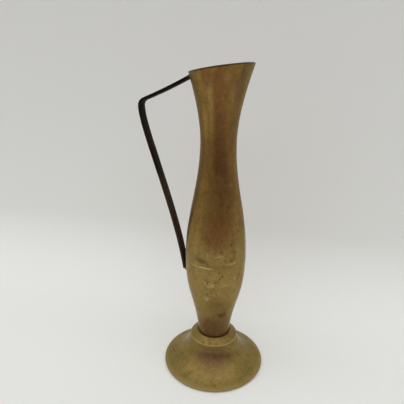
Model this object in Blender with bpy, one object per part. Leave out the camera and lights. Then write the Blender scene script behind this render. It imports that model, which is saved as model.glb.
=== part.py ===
"""Slender brass ewer with an oblique mouth, a collared foot and a bent strip handle.

Metres, +Z up, standing on z = 0. The handle lies in the XZ plane towards -X and the high lip
is towards +X. The origin is the middle of the footprint, so the turning axis of the body is
at x = AXIS_X. Shapes are drawn as (radius, height) points about that axis.
"""

import math

import bmesh
import bpy
from mathutils import Matrix, Vector

# Overall sizes
OVERALL_HEIGHT = 0.250
FOOT_RADIUS = 0.0430
HANDLE_REACH = 0.0608          # turning axis to the strip's centre line at the corner

# Body outline: its widest and narrowest stations. A fullness is the share of the height between
# two stations over which the curve still leans the way it does at the station itself.
BASE_RADIUS = 0.0130           # where the bowl enters the collar
BASE_FLARE = 0.115             # radius gained per metre of height there
BASE_FULLNESS = 0.49
BELLY_RADIUS = 0.0247
BELLY_HEIGHT = 0.1000
BELLY_FULLNESS_BELOW = 0.485
BELLY_FULLNESS_ABOVE = 0.40
WAIST_RADIUS = 0.01375
WAIST_HEIGHT = 0.1945
WAIST_FULLNESS_BELOW = 0.37
WAIST_FULLNESS_ABOVE = 0.40
MOUTH_RADIUS = 0.0250          # at the top of the high lip
MOUTH_FLARE = 0.31             # radius gained per metre of height at the lip
MOUTH_FULLNESS = 0.07
MOUTH_SLOPE = 0.146            # fall of the rim per metre towards the handle
BOWL_FLAT_RADIUS = 0.0090
BOWL_CORNER_RUN = 0.0025       # how far inside the base radius the bowl's bottom starts to turn up
BOWL_CORNER_RISE = 0.0028
NECK_WALL = 0.0012
BOWL_WALL = 0.0013

# Joint between the two shells at the belly
SEAM_CHAMFER = 0.0009
SEAM_PROUD = 0.00015
LAP_LENGTH = 0.0045
LAP_WALL = 0.0009
LAP_SWELL = 0.0025             # length over which the bowl's wall steps in to the lap

# Collar under the bowl
COLLAR_RADIUS = 0.0200
COLLAR_WALL_HEIGHT = 0.0041
COLLAR_GROOVE = 0.0010         # open ring between the bowl and the crown of the dome
COLLAR_CROWN_RISE = 0.0038     # height of the crown above the dome's outer edge
COLLAR_DOME = 0.0009           # swelling of the dome over a straight line
COLLAR_FLOOR = 0.0029
COLLAR_SEAT_TAPER = 0.0018     # radius lost from the crown down to the floor
FLANGE_RECESS = 0.0015

# Foot
FOOT_HEIGHT = 0.0220
FOOT_LEDGE = 0.0009            # land outside the collar
FOOT_WALL = 0.0018
FOOT_WEB = 0.0024
RIM_ROUND = 0.0015
RIM_LAND = 0.0030
FLARE_STEEP_DROP = 0.0075
FLARE_STEEP_RUN = 0.0016
FLARE_SHALLOW_RUN = 0.0120
FLARE_SHALLOW_RISE = 0.0036

# Stud, washer and nut that clamp foot and collar to the bowl
STUD_RADIUS = 0.0030
STUD_FLANGE_RADIUS = 0.0060
STUD_FLANGE = 0.0012
STUD_END_CHAMFER = 0.0005
STUD_PROUD = 0.0024
HOLE_CLEARANCE = 0.0003
WASHER_RADIUS = 0.0080
WASHER_THICKNESS = 0.0014
NUT_ACROSS_FLATS = 0.0100
NUT_HEIGHT = 0.0050

# Handle strip
STRIP_WIDTH = 0.0098
STRIP_THICKNESS = 0.0021
STRIP_EDGE = 0.00025
ARM_BELOW_LIP = 0.0024         # strip's centre line under the low lip, at the neck
ARM_DROP = 0.0162              # neck end of the arm down to where the corner's bend starts
ARM_NECK_SLOPE = 0.52          # fall per metre of reach at the neck
ARM_CORNER_ANGLE = math.radians(22)
CORNER_RADIUS = 0.0055
LEG_TOP_STRAIGHT = 0.0176
LEG_END_HEIGHT = 0.0875
LEG_END_LEAN = 0.165           # reach gained per metre of height at the lower end
LEG_END_STRAIGHT = 0.0546
ARM_HIDDEN = 0.0020            # stretch that the neck's curve trims off

# Braze around the strip's ends
BRAZE_MARGIN = 0.0016          # past the strip's faces and edges
BRAZE_REACH = 0.0026           # out from the neck and belly walls
BRAZE_TAIL = 0.0034            # along the belly, above and below the strip's end

GAP = 0.0003                   # left between pieces that touch
SEGMENTS = 48
FINE_STEPS = 9
COARSE_STEPS = 6
LUMP_SEGMENTS = 16
LUMP_RINGS = 10
SHARP_ANGLE = math.radians(35)
TINY = 1e-7

AXIS_X = (HANDLE_REACH + STRIP_THICKNESS / 2 - FOOT_RADIUS) / 2

# Looks: colour, roughness and metallic
BODY_BRASS = ((0.40, 0.31, 0.13, 1.0), 0.42, 1.0)
FOOT_BRASS = ((0.40, 0.31, 0.13, 1.0), 0.38, 1.0)
FASTENER_BRASS = ((0.29, 0.21, 0.10, 1.0), 0.50, 1.0)
BRAZE = ((0.34, 0.27, 0.13, 1.0), 0.55, 1.0)
BLACKENED_IRON = ((0.030, 0.022, 0.016, 1.0), 0.55, 0.7)


# ---------------------------------------------------------------- outline helpers

def bezier(start, start_handle, end_handle, end, steps):
    """Points of a cubic curve, both ends included."""
    points = []
    for index in range(steps + 1):
        t = index / steps
        weights = ((1 - t) ** 3, 3 * t * (1 - t) ** 2, 3 * t * t * (1 - t), t ** 3)
        corners = (start, start_handle, end_handle, end)
        radius = sum(weight * corner[0] for weight, corner in zip(weights, corners))
        height = sum(weight * corner[1] for weight, corner in zip(weights, corners))
        points.append((radius, height))
    return points


def arc(centre, radius, start_angle, end_angle, steps):
    """Points on a circular arc in the (radius, height) plane, both ends included."""
    points = []
    for index in range(steps + 1):
        angle = start_angle + (end_angle - start_angle) * index / steps
        points.append((centre[0] + radius * math.cos(angle), centre[1] + radius * math.sin(angle)))
    return points


def normals(points):
    """Unit normals to the right of a path that is walked from first point to last."""
    result = []
    for index in range(len(points)):
        before = points[max(index - 1, 0)]
        after = points[min(index + 1, len(points) - 1)]
        along = Vector((after[0] - before[0], after[1] - before[1])).normalized()
        result.append((along.y, -along.x))
    return result


def offset(points, distance):
    """The path moved to its right by a distance."""
    moved = []
    for point, normal in zip(points, normals(points)):
        moved.append((point[0] + distance * normal[0], point[1] + distance * normal[1]))
    return moved


def radius_at(points, height):
    """Radius of an upward path at a height."""
    for low, high in zip(points, points[1:]):
        if low[1] <= height <= high[1]:
            share = (height - low[1]) / (high[1] - low[1])
            return low[0] + share * (high[0] - low[0])
    raise ValueError("height outside the outline")


# ---------------------------------------------------------------- body outline

def rising_curve(start, start_lean, start_fullness, end, end_lean, end_fullness):
    """A curve up from one station to another. A lean is radius gained per metre of height."""
    rise = end[1] - start[1]
    leave = start_fullness * rise
    arrive = end_fullness * rise
    start_handle = (start[0] + start_lean * leave, start[1] + leave)
    end_handle = (end[0] - end_lean * arrive, end[1] - arrive)
    return bezier(start, start_handle, end_handle, end, FINE_STEPS)


def bowl_curve():
    """Outside of the lower bowl, upwards from the collar's crown to the belly."""
    start = (BASE_RADIUS, collar_crown_height())
    end = (BELLY_RADIUS, BELLY_HEIGHT)
    return rising_curve(start, BASE_FLARE, BASE_FULLNESS, end, 0.0, BELLY_FULLNESS_BELOW)


def shoulder_curve():
    """Outside from the belly up to the waist."""
    start = (BELLY_RADIUS, BELLY_HEIGHT)
    end = (WAIST_RADIUS, WAIST_HEIGHT)
    return rising_curve(start, 0.0, BELLY_FULLNESS_ABOVE, end, 0.0, WAIST_FULLNESS_BELOW)


def mouth_curve():
    """Outside from the waist up to the top of the high lip, and a wall's thickness past it."""
    start = (WAIST_RADIUS, WAIST_HEIGHT)
    end = (MOUTH_RADIUS, OVERALL_HEIGHT)
    points = rising_curve(start, 0.0, WAIST_FULLNESS_ABOVE, end, MOUTH_FLARE, MOUTH_FULLNESS)
    return points + [(MOUTH_RADIUS + MOUTH_FLARE * NECK_WALL, OVERALL_HEIGHT + NECK_WALL)]


def neck_curve():
    return shoulder_curve()[:-1] + mouth_curve()


def rim_height(x):
    """Height of the oblique rim at a distance towards the high lip."""
    return OVERALL_HEIGHT - MOUTH_SLOPE * (MOUTH_RADIUS - x)


# ---------------------------------------------------------------- mesh helpers

def material(name, values):
    color, roughness, metallic = values
    made = bpy.data.materials.new(name)
    made.use_nodes = True
    shader = made.node_tree.nodes["Principled BSDF"]
    shader.inputs["Base Color"].default_value = color
    shader.inputs["Roughness"].default_value = roughness
    shader.inputs["Metallic"].default_value = metallic
    made.diffuse_color = color
    return made


def add_object(name, mesh, looks=None):
    """Put a mesh on the turning axis as a named object."""
    data = bpy.data.meshes.new(name)
    mesh.to_mesh(data)
    mesh.free()
    data.shade_smooth()
    data.set_sharp_from_angle(angle=SHARP_ANGLE)
    made = bpy.data.objects.new(name, data)
    bpy.context.scene.collection.objects.link(made)
    made.parent = bpy.data.objects["turning_axis"]
    if looks:
        data.materials.append(looks)
    return made


def cut(target, cutter):
    """Take a hidden cutter away from an object."""
    cutter.hide_render = True
    cutter.display_type = "WIRE"
    modifier = target.modifiers.new("cut_" + cutter.name, "BOOLEAN")
    modifier.operation = "DIFFERENCE"
    modifier.solver = "EXACT"
    modifier.object = cutter


def turned(outline, segments=SEGMENTS):
    """A body turned from a closed outline that runs down its outer side and up its inner side."""
    mesh = bmesh.new()
    rings = []
    for radius, height in outline:
        if radius < TINY:
            rings.append([mesh.verts.new((0.0, 0.0, height))])
            continue
        ring = []
        for index in range(segments):
            angle = 2 * math.pi * index / segments
            ring.append(mesh.verts.new((radius * math.cos(angle), radius * math.sin(angle), height)))
        rings.append(ring)
    for upper, lower in zip(rings, rings[1:] + rings[:1]):
        join_rings(mesh, upper, lower)
    return mesh


def join_rings(mesh, upper, lower):
    """Faces between two rings, either of which may be a single point on the axis."""
    count = max(len(upper), len(lower))
    if count == 1:
        return
    for index in range(count):
        following = (index + 1) % count
        corners = []
        if len(upper) > 1:
            corners += [upper[following], upper[index]]
        else:
            corners += [upper[0]]
        if len(lower) > 1:
            corners += [lower[index], lower[following]]
        else:
            corners += [lower[0]]
        mesh.faces.new(corners)


def strip(path, width, thickness, edge):
    """A flat strip swept along a path in the handle's plane, which runs towards -X."""
    half_width = width / 2
    half_thickness = thickness / 2
    section = [
        (half_width - edge, half_thickness), (half_width, half_thickness - edge),
        (half_width, edge - half_thickness), (half_width - edge, -half_thickness),
        (edge - half_width, -half_thickness), (-half_width, edge - half_thickness),
        (-half_width, half_thickness - edge), (edge - half_width, half_thickness),
    ]
    mesh = bmesh.new()
    rings = []
    for point, normal in zip(path, normals(path)):
        ring = []
        for across, out in section:
            radius = point[0] + out * normal[0]
            height = point[1] + out * normal[1]
            ring.append(mesh.verts.new((-radius, across, height)))
        rings.append(ring)
    for first, second in zip(rings, rings[1:]):
        for index in range(len(section)):
            following = (index + 1) % len(section)
            mesh.faces.new([first[index], first[following], second[following], second[index]])
    mesh.faces.new(rings[0][::-1])
    mesh.faces.new(rings[-1])
    bmesh.ops.recalc_face_normals(mesh, faces=mesh.faces)
    return mesh


def lump(centre, half_sizes):
    """An ellipsoid in the handle's plane, given as (radius, height) and its three half sizes."""
    mesh = bmesh.new()
    place = Matrix.Translation((-centre[0], 0.0, centre[1])) @ Matrix.Diagonal((*half_sizes, 1.0))
    bmesh.ops.create_uvsphere(mesh, u_segments=LUMP_SEGMENTS, v_segments=LUMP_RINGS, radius=1.0,
                              matrix=place)
    return mesh


# ---------------------------------------------------------------- pieces

def neck_shell(looks):
    """Upper belly, neck and mouth, raised from one sheet and trimmed obliquely at the rim."""
    outer = neck_curve()
    inner = offset(outer, -NECK_WALL)
    edge_height = BELLY_HEIGHT + GAP / 2
    groove_root = (BELLY_RADIUS - SEAM_CHAMFER, edge_height)
    groove_lip = (BELLY_RADIUS, edge_height + SEAM_CHAMFER)
    foot_of_inner = (BELLY_RADIUS - NECK_WALL, edge_height)
    outline = outer[:0:-1] + [groove_lip, groove_root, foot_of_inner] + inner[1:]
    shell = add_object("neck_shell", turned(outline), looks)
    cut(shell, rim_cutter())


def rim_cutter():
    """Everything above the oblique rim."""
    mesh = bmesh.new()
    size = 4 * MOUTH_RADIUS
    bmesh.ops.create_cube(mesh, size=size)
    tilt = Matrix.Rotation(-math.atan(MOUTH_SLOPE), 4, "Y")
    raise_up = Matrix.Translation((0.0, 0.0, size / 2))
    place = Matrix.Translation((0.0, 0.0, rim_height(0.0))) @ tilt @ raise_up
    bmesh.ops.transform(mesh, matrix=place, verts=mesh.verts)
    return add_object("rim_cutter", mesh)


def lower_bowl(looks):
    """Cup that closes the bottom, with a lap that enters the neck shell."""
    outer = bowl_curve()
    bottom_height = collar_floor_height() + GAP
    corner = (BASE_RADIUS - BASE_FLARE * BOWL_CORNER_RISE, outer[0][1] - BOWL_CORNER_RISE)
    turn_in = bezier(
        (BOWL_FLAT_RADIUS, bottom_height), (BASE_RADIUS - BOWL_CORNER_RUN, bottom_height),
        corner, outer[0], COARSE_STEPS)
    outer = turn_in[:-1] + outer
    inner = offset(outer, -BOWL_WALL)
    lap_top = BELLY_HEIGHT + LAP_LENGTH
    lap_outer = radius_at(shoulder_curve(), lap_top) - NECK_WALL - GAP - SEAM_PROUD
    lap_inner = lap_outer - LAP_WALL
    edge_height = BELLY_HEIGHT - GAP / 2
    below_lap = BELLY_HEIGHT - 2 * LAP_SWELL
    outline = [
        (lap_outer, lap_top), (lap_outer, edge_height),
        (BELLY_RADIUS - SEAM_CHAMFER, edge_height), (BELLY_RADIUS, edge_height - SEAM_CHAMFER)]
    outline += [point for point in reversed(outer) if point[1] < edge_height - 2 * SEAM_CHAMFER]
    outline += [(0.0, bottom_height), (0.0, bottom_height + BOWL_WALL)]
    outline += [(BOWL_FLAT_RADIUS, bottom_height + BOWL_WALL)]
    outline += [point for point in inner[1:] if point[1] < below_lap]
    outline += [(radius_at(inner, below_lap), below_lap)]
    outline += [(lap_inner, BELLY_HEIGHT - LAP_SWELL), (lap_inner, lap_top)]
    add_object("lower_bowl", turned(outline), looks)


def belly_seam_braze(looks):
    """Bead that fills the groove between the two shells."""
    root = BELLY_RADIUS - SEAM_CHAMFER - GAP / 2 + GAP * math.sqrt(2)
    face = BELLY_RADIUS + SEAM_PROUD
    half_height = face - root
    shoulder = face - SEAM_PROUD
    outline = [
        (root, BELLY_HEIGHT), (shoulder, BELLY_HEIGHT + half_height - SEAM_PROUD),
        (face, BELLY_HEIGHT + half_height / 2), (face, BELLY_HEIGHT - half_height / 2),
        (shoulder, BELLY_HEIGHT - half_height + SEAM_PROUD)]
    add_object("belly_seam_braze", turned(outline), looks)


def collar_floor_height():
    return FOOT_HEIGHT + GAP + COLLAR_FLOOR


def collar_crown_height():
    return FOOT_HEIGHT + GAP + COLLAR_WALL_HEIGHT + COLLAR_CROWN_RISE


def foot_collar(looks):
    """Domed ring with a dished seat that the bowl stands in."""
    base = FOOT_HEIGHT + GAP
    shoulder = base + COLLAR_WALL_HEIGHT
    crown_height = collar_crown_height()
    crown_radius = BASE_RADIUS + COLLAR_GROOVE
    floor = collar_floor_height()
    middle = ((COLLAR_RADIUS + crown_radius) / 2 + COLLAR_DOME,
              (shoulder + crown_height) / 2 + COLLAR_DOME)
    dome = bezier((crown_radius, crown_height), middle, middle, (COLLAR_RADIUS, shoulder), COARSE_STEPS)
    recess = STUD_FLANGE_RADIUS + HOLE_CLEARANCE
    hole = STUD_RADIUS + HOLE_CLEARANCE
    outline = dome + [
        (COLLAR_RADIUS, base), (hole, base), (hole, floor - FLANGE_RECESS),
        (recess, floor - FLANGE_RECESS), (recess, floor), (crown_radius - COLLAR_SEAT_TAPER, floor)]
    add_object("foot_collar", turned(outline), looks)


def flare_curve():
    """Outside of the foot, from the ledge under the collar down to the rim's rounding."""
    start = (COLLAR_RADIUS + FOOT_LEDGE, FOOT_HEIGHT)
    end = (FOOT_RADIUS - RIM_ROUND, 2 * RIM_ROUND)
    start_handle = (start[0] + FLARE_STEEP_RUN, start[1] - FLARE_STEEP_DROP)
    end_handle = (end[0] - FLARE_SHALLOW_RUN, end[1] + FLARE_SHALLOW_RISE)
    return bezier(start, start_handle, end_handle, end, FINE_STEPS)


def foot(looks):
    """Flared foot, hollow underneath, with a web that the stud passes through."""
    flare = flare_curve()
    web_under = FOOT_HEIGHT - FOOT_WEB
    hole = STUD_RADIUS + HOLE_CLEARANCE
    rim = arc((FOOT_RADIUS - RIM_ROUND, RIM_ROUND), RIM_ROUND, math.pi / 2, -math.pi / 2, COARSE_STEPS)
    rest_inner = FOOT_RADIUS - RIM_ROUND - RIM_LAND
    under = offset(flare, FOOT_WALL)[::-1]
    under = [point for point in under if point[0] < rest_inner - RIM_ROUND / 2]
    below_web = [point for point in under if point[1] < web_under - RIM_ROUND / 4]
    outline = flare[:-1] + rim + [(rest_inner, 0.0)] + below_web
    outline += [(radius_at(under, web_under), web_under), (hole, web_under), (hole, FOOT_HEIGHT)]
    add_object("foot", turned(outline), looks)


def base_stud(looks):
    """Flanged stud, brazed by its flange to the bowl's bottom."""
    top = collar_floor_height()
    end = nut_bottom() - STUD_PROUD
    under_flange = top - STUD_FLANGE
    outline = [
        (0.0, top), (STUD_FLANGE_RADIUS, top), (STUD_FLANGE_RADIUS, under_flange),
        (STUD_RADIUS, under_flange), (STUD_RADIUS, end + STUD_END_CHAMFER),
        (STUD_RADIUS - STUD_END_CHAMFER, end), (0.0, end)]
    add_object("base_stud", turned(outline, SEGMENTS // 2), looks)


def washer_top():
    return FOOT_HEIGHT - FOOT_WEB - GAP


def nut_bottom():
    return washer_top() - WASHER_THICKNESS - GAP - NUT_HEIGHT


def foot_washer(looks):
    top = washer_top()
    bottom = top - WASHER_THICKNESS
    hole = STUD_RADIUS + HOLE_CLEARANCE
    outline = [(WASHER_RADIUS, top), (WASHER_RADIUS, bottom), (hole, bottom), (hole, top)]
    add_object("foot_washer", turned(outline, SEGMENTS // 2), looks)


def foot_nut(looks):
    """Hexagon nut with a plain hole where its thread would be."""
    bottom = nut_bottom()
    mesh = bmesh.new()
    corner_radius = NUT_ACROSS_FLATS / math.sqrt(3)
    place = Matrix.Translation((0.0, 0.0, bottom + NUT_HEIGHT / 2))
    bmesh.ops.create_cone(mesh, cap_ends=True, segments=6, radius1=corner_radius, radius2=corner_radius,
                          depth=NUT_HEIGHT, matrix=place)
    nut = add_object("foot_nut", mesh, looks)
    hole = STUD_RADIUS + HOLE_CLEARANCE
    over = bottom + 2 * NUT_HEIGHT
    under = bottom - NUT_HEIGHT
    rod = [(0.0, over), (hole, over), (hole, under), (0.0, under)]
    cut(nut, add_object("nut_hole_cutter", turned(rod, SEGMENTS // 2)))


def arm_neck_point():
    """Where the strip's centre line meets the neck's outside, under the low lip."""
    height = rim_height(-MOUTH_RADIUS) - ARM_BELOW_LIP
    return (radius_at(neck_curve(), height), height)


def leg_end_point():
    """Centre of the strip's lower end, clear of the bowl."""
    wall = radius_at(bowl_curve(), LEG_END_HEIGHT)
    return (wall + GAP + STRIP_THICKNESS / 2 + SEAM_PROUD, LEG_END_HEIGHT)


def handle_path():
    """Centre line of the strip: arm, corner and leg."""
    neck = arm_neck_point()
    hidden = (neck[0] - ARM_HIDDEN, neck[1] + ARM_HIDDEN * ARM_NECK_SLOPE)
    turn_start = math.pi / 2 - ARM_CORNER_ANGLE
    bend_height = neck[1] - ARM_DROP - CORNER_RADIUS * math.sin(turn_start)
    bend_centre = (HANDLE_REACH - CORNER_RADIUS, bend_height)
    bend = arc(bend_centre, CORNER_RADIUS, turn_start, 0.0, COARSE_STEPS)
    third = (bend[0][0] - hidden[0]) / 3
    arm = bezier(
        hidden, (hidden[0] + third, hidden[1] - third * ARM_NECK_SLOPE),
        (bend[0][0] - third, bend[0][1] + third * math.tan(ARM_CORNER_ANGLE)), bend[0], COARSE_STEPS)
    end = leg_end_point()
    leg = bezier(
        bend[-1], (bend[-1][0], bend[-1][1] - LEG_TOP_STRAIGHT),
        (end[0] + LEG_END_LEAN * LEG_END_STRAIGHT, end[1] + LEG_END_STRAIGHT), end, FINE_STEPS)
    return arm[:-1] + bend[:-1] + leg


def swollen_strip(name):
    """The strip grown by the gap, for cutting the braze around it."""
    path = handle_path()
    last = Vector(path[-1])
    before = Vector(path[-2])
    past_end = last + (last - before).normalized() * GAP
    path = path[:-1] + [(past_end.x, past_end.y)]
    mesh = strip(path, STRIP_WIDTH + 2 * GAP, STRIP_THICKNESS + 2 * GAP, STRIP_EDGE)
    return add_object(name, mesh)


def swollen_body(name, curve):
    """The body grown by the gap and filled in, for shaping what stands on its wall."""
    grown = offset(curve, GAP)[::-1]
    outline = [(0.0, grown[0][1])] + grown + [(0.0, grown[-1][1])]
    return add_object(name, turned(outline))


def handle_strip(looks):
    """Flat strip bent to shape, its upper end coped to the neck."""
    mesh = strip(handle_path(), STRIP_WIDTH, STRIP_THICKNESS, STRIP_EDGE)
    made = add_object("handle_strip", mesh, looks)
    cut(made, swollen_body("neck_cope_cutter", mouth_curve()))


def handle_top_braze(looks):
    """Fillet of braze around the strip where it butts against the neck."""
    half_sizes = (BRAZE_REACH, STRIP_WIDTH / 2 + BRAZE_MARGIN, STRIP_THICKNESS / 2 + BRAZE_MARGIN)
    made = add_object("handle_top_braze", lump(arm_neck_point(), half_sizes), looks)
    cut(made, swollen_body("neck_braze_cutter", mouth_curve()))
    cut(made, swollen_strip("arm_braze_cutter"))


def handle_bottom_braze(looks):
    """Fillet of braze around the strip's lower end on the bowl."""
    half_sizes = (BRAZE_REACH, STRIP_WIDTH / 2 + BRAZE_MARGIN, BRAZE_TAIL)
    wall = radius_at(bowl_curve(), LEG_END_HEIGHT)
    made = add_object("handle_bottom_braze", lump((wall, LEG_END_HEIGHT), half_sizes), looks)
    cut(made, swollen_body("bowl_braze_cutter", bowl_curve()))
    cut(made, swollen_strip("leg_braze_cutter"))


def clear_scene():
    for item in list(bpy.data.objects):
        bpy.data.objects.remove(item, do_unlink=True)


def build():
    clear_scene()
    axis = bpy.data.objects.new("turning_axis", None)
    axis.location = (AXIS_X, 0.0, 0.0)
    bpy.context.scene.collection.objects.link(axis)

    neck_shell(material("neck_brass", BODY_BRASS))
    lower_bowl(material("bowl_brass", BODY_BRASS))
    belly_seam_braze(material("seam_braze", BRAZE))
    foot_collar(material("collar_brass", FOOT_BRASS))
    foot(material("foot_brass", FOOT_BRASS))
    base_stud(material("stud_brass", FASTENER_BRASS))
    foot_washer(material("washer_brass", FASTENER_BRASS))
    foot_nut(material("nut_brass", FASTENER_BRASS))
    handle_strip(material("strip_dark", BLACKENED_IRON))
    handle_top_braze(material("top_braze", BRAZE))
    handle_bottom_braze(material("bottom_braze", BRAZE))
    bpy.context.view_layer.update()


build()
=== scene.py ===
import math

import bmesh
import bpy
from mathutils import Matrix, Vector, noise


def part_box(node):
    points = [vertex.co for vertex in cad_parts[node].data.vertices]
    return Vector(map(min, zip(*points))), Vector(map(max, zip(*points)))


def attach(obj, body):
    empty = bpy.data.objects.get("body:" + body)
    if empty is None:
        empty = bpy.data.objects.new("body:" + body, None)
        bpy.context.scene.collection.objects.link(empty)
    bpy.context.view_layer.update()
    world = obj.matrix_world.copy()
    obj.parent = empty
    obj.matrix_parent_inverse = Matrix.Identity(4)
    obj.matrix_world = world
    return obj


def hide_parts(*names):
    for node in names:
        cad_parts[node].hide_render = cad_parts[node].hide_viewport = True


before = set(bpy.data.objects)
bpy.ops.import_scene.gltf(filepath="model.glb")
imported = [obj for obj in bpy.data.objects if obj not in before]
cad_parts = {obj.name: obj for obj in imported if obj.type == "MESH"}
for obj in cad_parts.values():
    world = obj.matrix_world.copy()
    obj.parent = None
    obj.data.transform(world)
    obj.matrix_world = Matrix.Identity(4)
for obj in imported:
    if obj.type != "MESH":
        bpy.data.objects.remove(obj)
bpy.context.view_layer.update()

# ---------------------------------------------------------------- sizes read from the frame

FOOT_LOW, FOOT_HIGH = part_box("foot")
NECK_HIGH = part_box("neck_shell")[1]
BOWL_LOW, BOWL_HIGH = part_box("lower_bowl")
COLLAR_LOW, COLLAR_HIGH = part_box("foot_collar")
SEAM_LOW, SEAM_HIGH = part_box("belly_seam_braze")
STUD_LOW, STUD_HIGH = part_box("base_stud")
WASHER_LOW, WASHER_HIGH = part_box("foot_washer")
NUT_LOW, NUT_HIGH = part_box("foot_nut")
STRIP_LOW, STRIP_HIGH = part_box("handle_strip")

AXIS_X = (FOOT_LOW.x + FOOT_HIGH.x) / 2
FOOT_RADIUS = (FOOT_HIGH.x - FOOT_LOW.x) / 2
FOOT_HEIGHT = FOOT_HIGH.z
COLLAR_RADIUS = (COLLAR_HIGH.x - COLLAR_LOW.x) / 2
CROWN_HEIGHT = COLLAR_HIGH.z
SEAM_HEIGHT = (SEAM_LOW.z + SEAM_HIGH.z) / 2
BELLY_RADIUS = (BOWL_HIGH.x - BOWL_LOW.x) / 2
MOUTH_RADIUS = NECK_HIGH.x - AXIS_X
TOP_HEIGHT = NECK_HIGH.z
STRIP_WIDTH = STRIP_HIGH.y - STRIP_LOW.y
GAP = 0.0003

# The CAD's own shape values, which the boxes don't give
BASE_RADIUS = 0.0130
BASE_FLARE = 0.115
BASE_FULLNESS = 0.49
BELLY_FULLNESS_BELOW = 0.485
BELLY_FULLNESS_ABOVE = 0.40
WAIST_RADIUS = 0.01375
WAIST_HEIGHT = 0.1945
WAIST_FULLNESS_BELOW = 0.37
WAIST_FULLNESS_ABOVE = 0.40
MOUTH_FLARE = 0.31
MOUTH_FULLNESS = 0.07
MOUTH_SLOPE = 0.146
SEAM_HALF_HEIGHT = 0.0009
NECK_WALL = 0.0012
BOWL_WALL = 0.0013
BOWL_FLAT_RADIUS = 0.0090
BOWL_CORNER_RUN = 0.0025
BOWL_CORNER_RISE = 0.0028
COLLAR_FLOOR = 0.0029
COLLAR_WALL_HEIGHT = 0.0041
COLLAR_GROOVE = 0.0010
COLLAR_DOME = 0.0009
COLLAR_SEAT_TAPER = 0.0018
FOOT_LEDGE = 0.0009
FOOT_WALL = 0.0018
FOOT_WEB = 0.0024
RIM_ROUND = 0.0015
RIM_LAND = 0.0030
FLARE_STEEP_DROP = 0.0075
FLARE_STEEP_RUN = 0.0016
FLARE_SHALLOW_RUN = 0.0120
FLARE_SHALLOW_RISE = 0.0036
STUD_RADIUS = 0.0030
STUD_FLANGE = 0.0012
NUT_ACROSS_FLATS = 0.0100
STRIP_THICKNESS = 0.0021
ARM_BELOW_LIP = 0.0024
ARM_DROP = 0.0162
ARM_NECK_SLOPE = 0.52
ARM_CORNER_ANGLE = math.radians(22)
CORNER_RADIUS = 0.0055
LEG_TOP_STRAIGHT = 0.0176
LEG_END_LEAN = 0.165
LEG_END_STRAIGHT = 0.0546
LEG_END_HEIGHT = 0.0875

# The finished foot's lip, and how far the collar's outer edge lies below its crown
LIP_HEIGHT = 0.0025
CROWN_RISE = 0.0038

# Fineness of the finished surfaces
AROUND = 192
ALONG = 40
ROUND_STEPS = 8

# Unevenness of the hand-raised walls, and how fast the body's fades in above the collar, per metre
BODY_WOBBLE = 0.00022
FOOT_WOBBLE = 0.00018
WOBBLE_FADE = 80

# The camera, as bearings round the body's turning axis
CAMERA_DISTANCE = 0.2868
CAMERA_HEIGHT = 0.2360
CAMERA_BEARING = math.radians(10.56)
CAMERA_YAW = math.radians(-2.36)
CAMERA_PITCH = math.radians(17.41)
CAMERA_ROLL = math.radians(0.74)
CAMERA_LENS = 33.86

# The room round the object, as linear light
PAPER = (0.88, 0.885, 0.868)
ZENITH = (1.14, 1.14, 1.13)
HORIZON = (0.34, 0.335, 0.325)
DARK_ROOM = (0.112, 0.088, 0.072)
DARK_SIDE = math.radians(33)
TOP_POWER = 1.9
WASH_POWER = 0.75

# How far inside the foot's outer edge the hole in the paper ends
HOLE_INSET = 0.0030

UP = (0.0, 0.0, 1.0)


# ---------------------------------------------------------------- node helpers

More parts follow.
